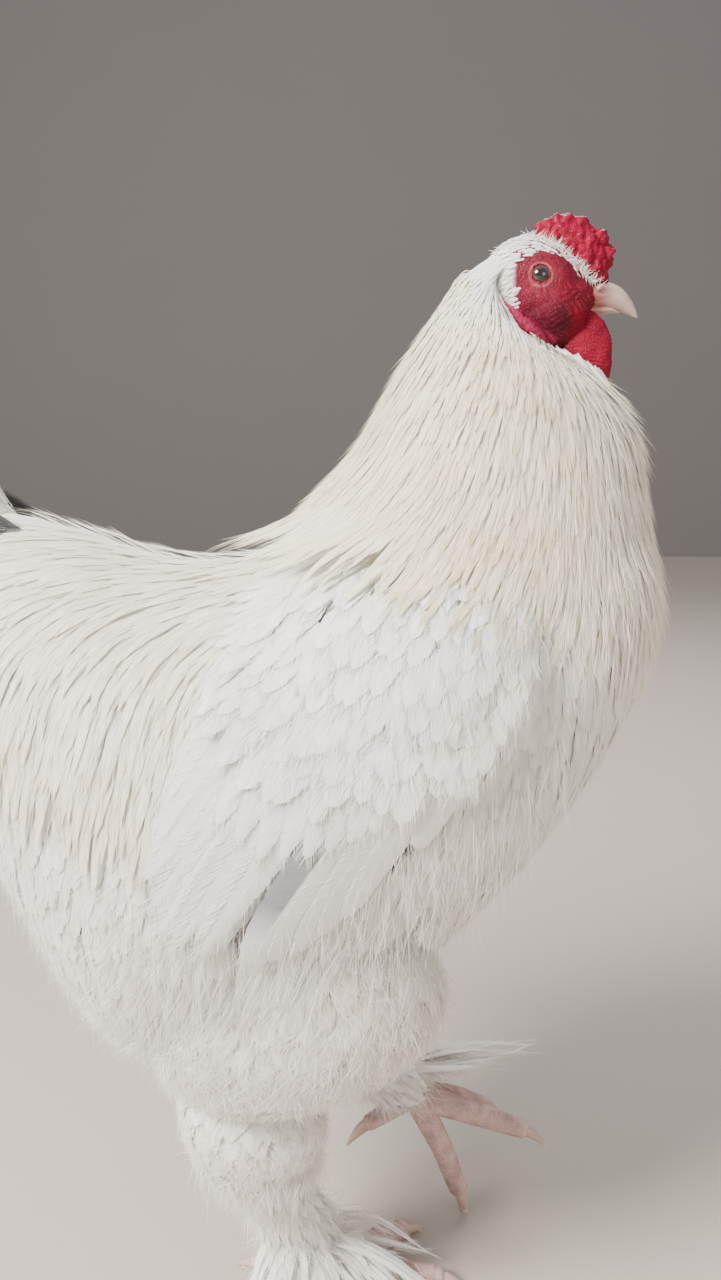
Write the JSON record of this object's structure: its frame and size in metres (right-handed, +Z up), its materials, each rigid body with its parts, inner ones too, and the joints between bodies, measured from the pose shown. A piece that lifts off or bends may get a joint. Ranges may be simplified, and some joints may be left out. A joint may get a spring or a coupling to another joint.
{
  "type": "brahma chicken",
  "caption": "Life-size still model of a white Brahma rooster in mid-step, with full hackle, folded wings and feathered legs.",
  "frame": {"origin": "middle of the standing right foot's sole, on the floor", "axes": "+Z up, +X the way the bird faces, +Y its left side; Y = 0 is the middle plane of its body, head and tail"},
  "size_m": [0.571, 0.2886, 0.7012],
  "materials": {
    "white_feather": "soft matte white feathers",
    "cream_feather": "silky cream hackle feathers",
    "dark_feather": "satin grey-black tail feathers",
    "red_skin": "soft red skin with a faint sheen",
    "horn": "smooth satin horn",
    "toe_skin": "pale scaly skin",
    "eye": "wet dark brown"
  },
  "bodies": {
    "root": {"beak_lower": "horn", "beak_upper": "horn", "claw_left_hind": "horn", "claw_left_inner": "horn", "claw_left_middle": "horn", "claw_left_outer": "horn", "claw_right_hind": "horn", "claw_right_inner": "horn", "claw_right_middle": "horn", "claw_right_outer": "horn", "comb": "red_skin", "ear_lobe_left": "red_skin", "ear_lobe_right": "red_skin", "eye_left": "eye", "eye_right": "eye", "foot_left": "toe_skin", "foot_right": "toe_skin", "head": "red_skin", "neck": "cream_feather", "shank_left": "white_feather", "shank_right": "white_feather", "tail": "dark_feather", "thigh_left": "white_feather", "thigh_right": "white_feather", "torso": "white_feather", "wattle_left": "red_skin", "wattle_right": "red_skin", "wing_left": "white_feather", "wing_right": "white_feather"}
  },
  "joints": []
}
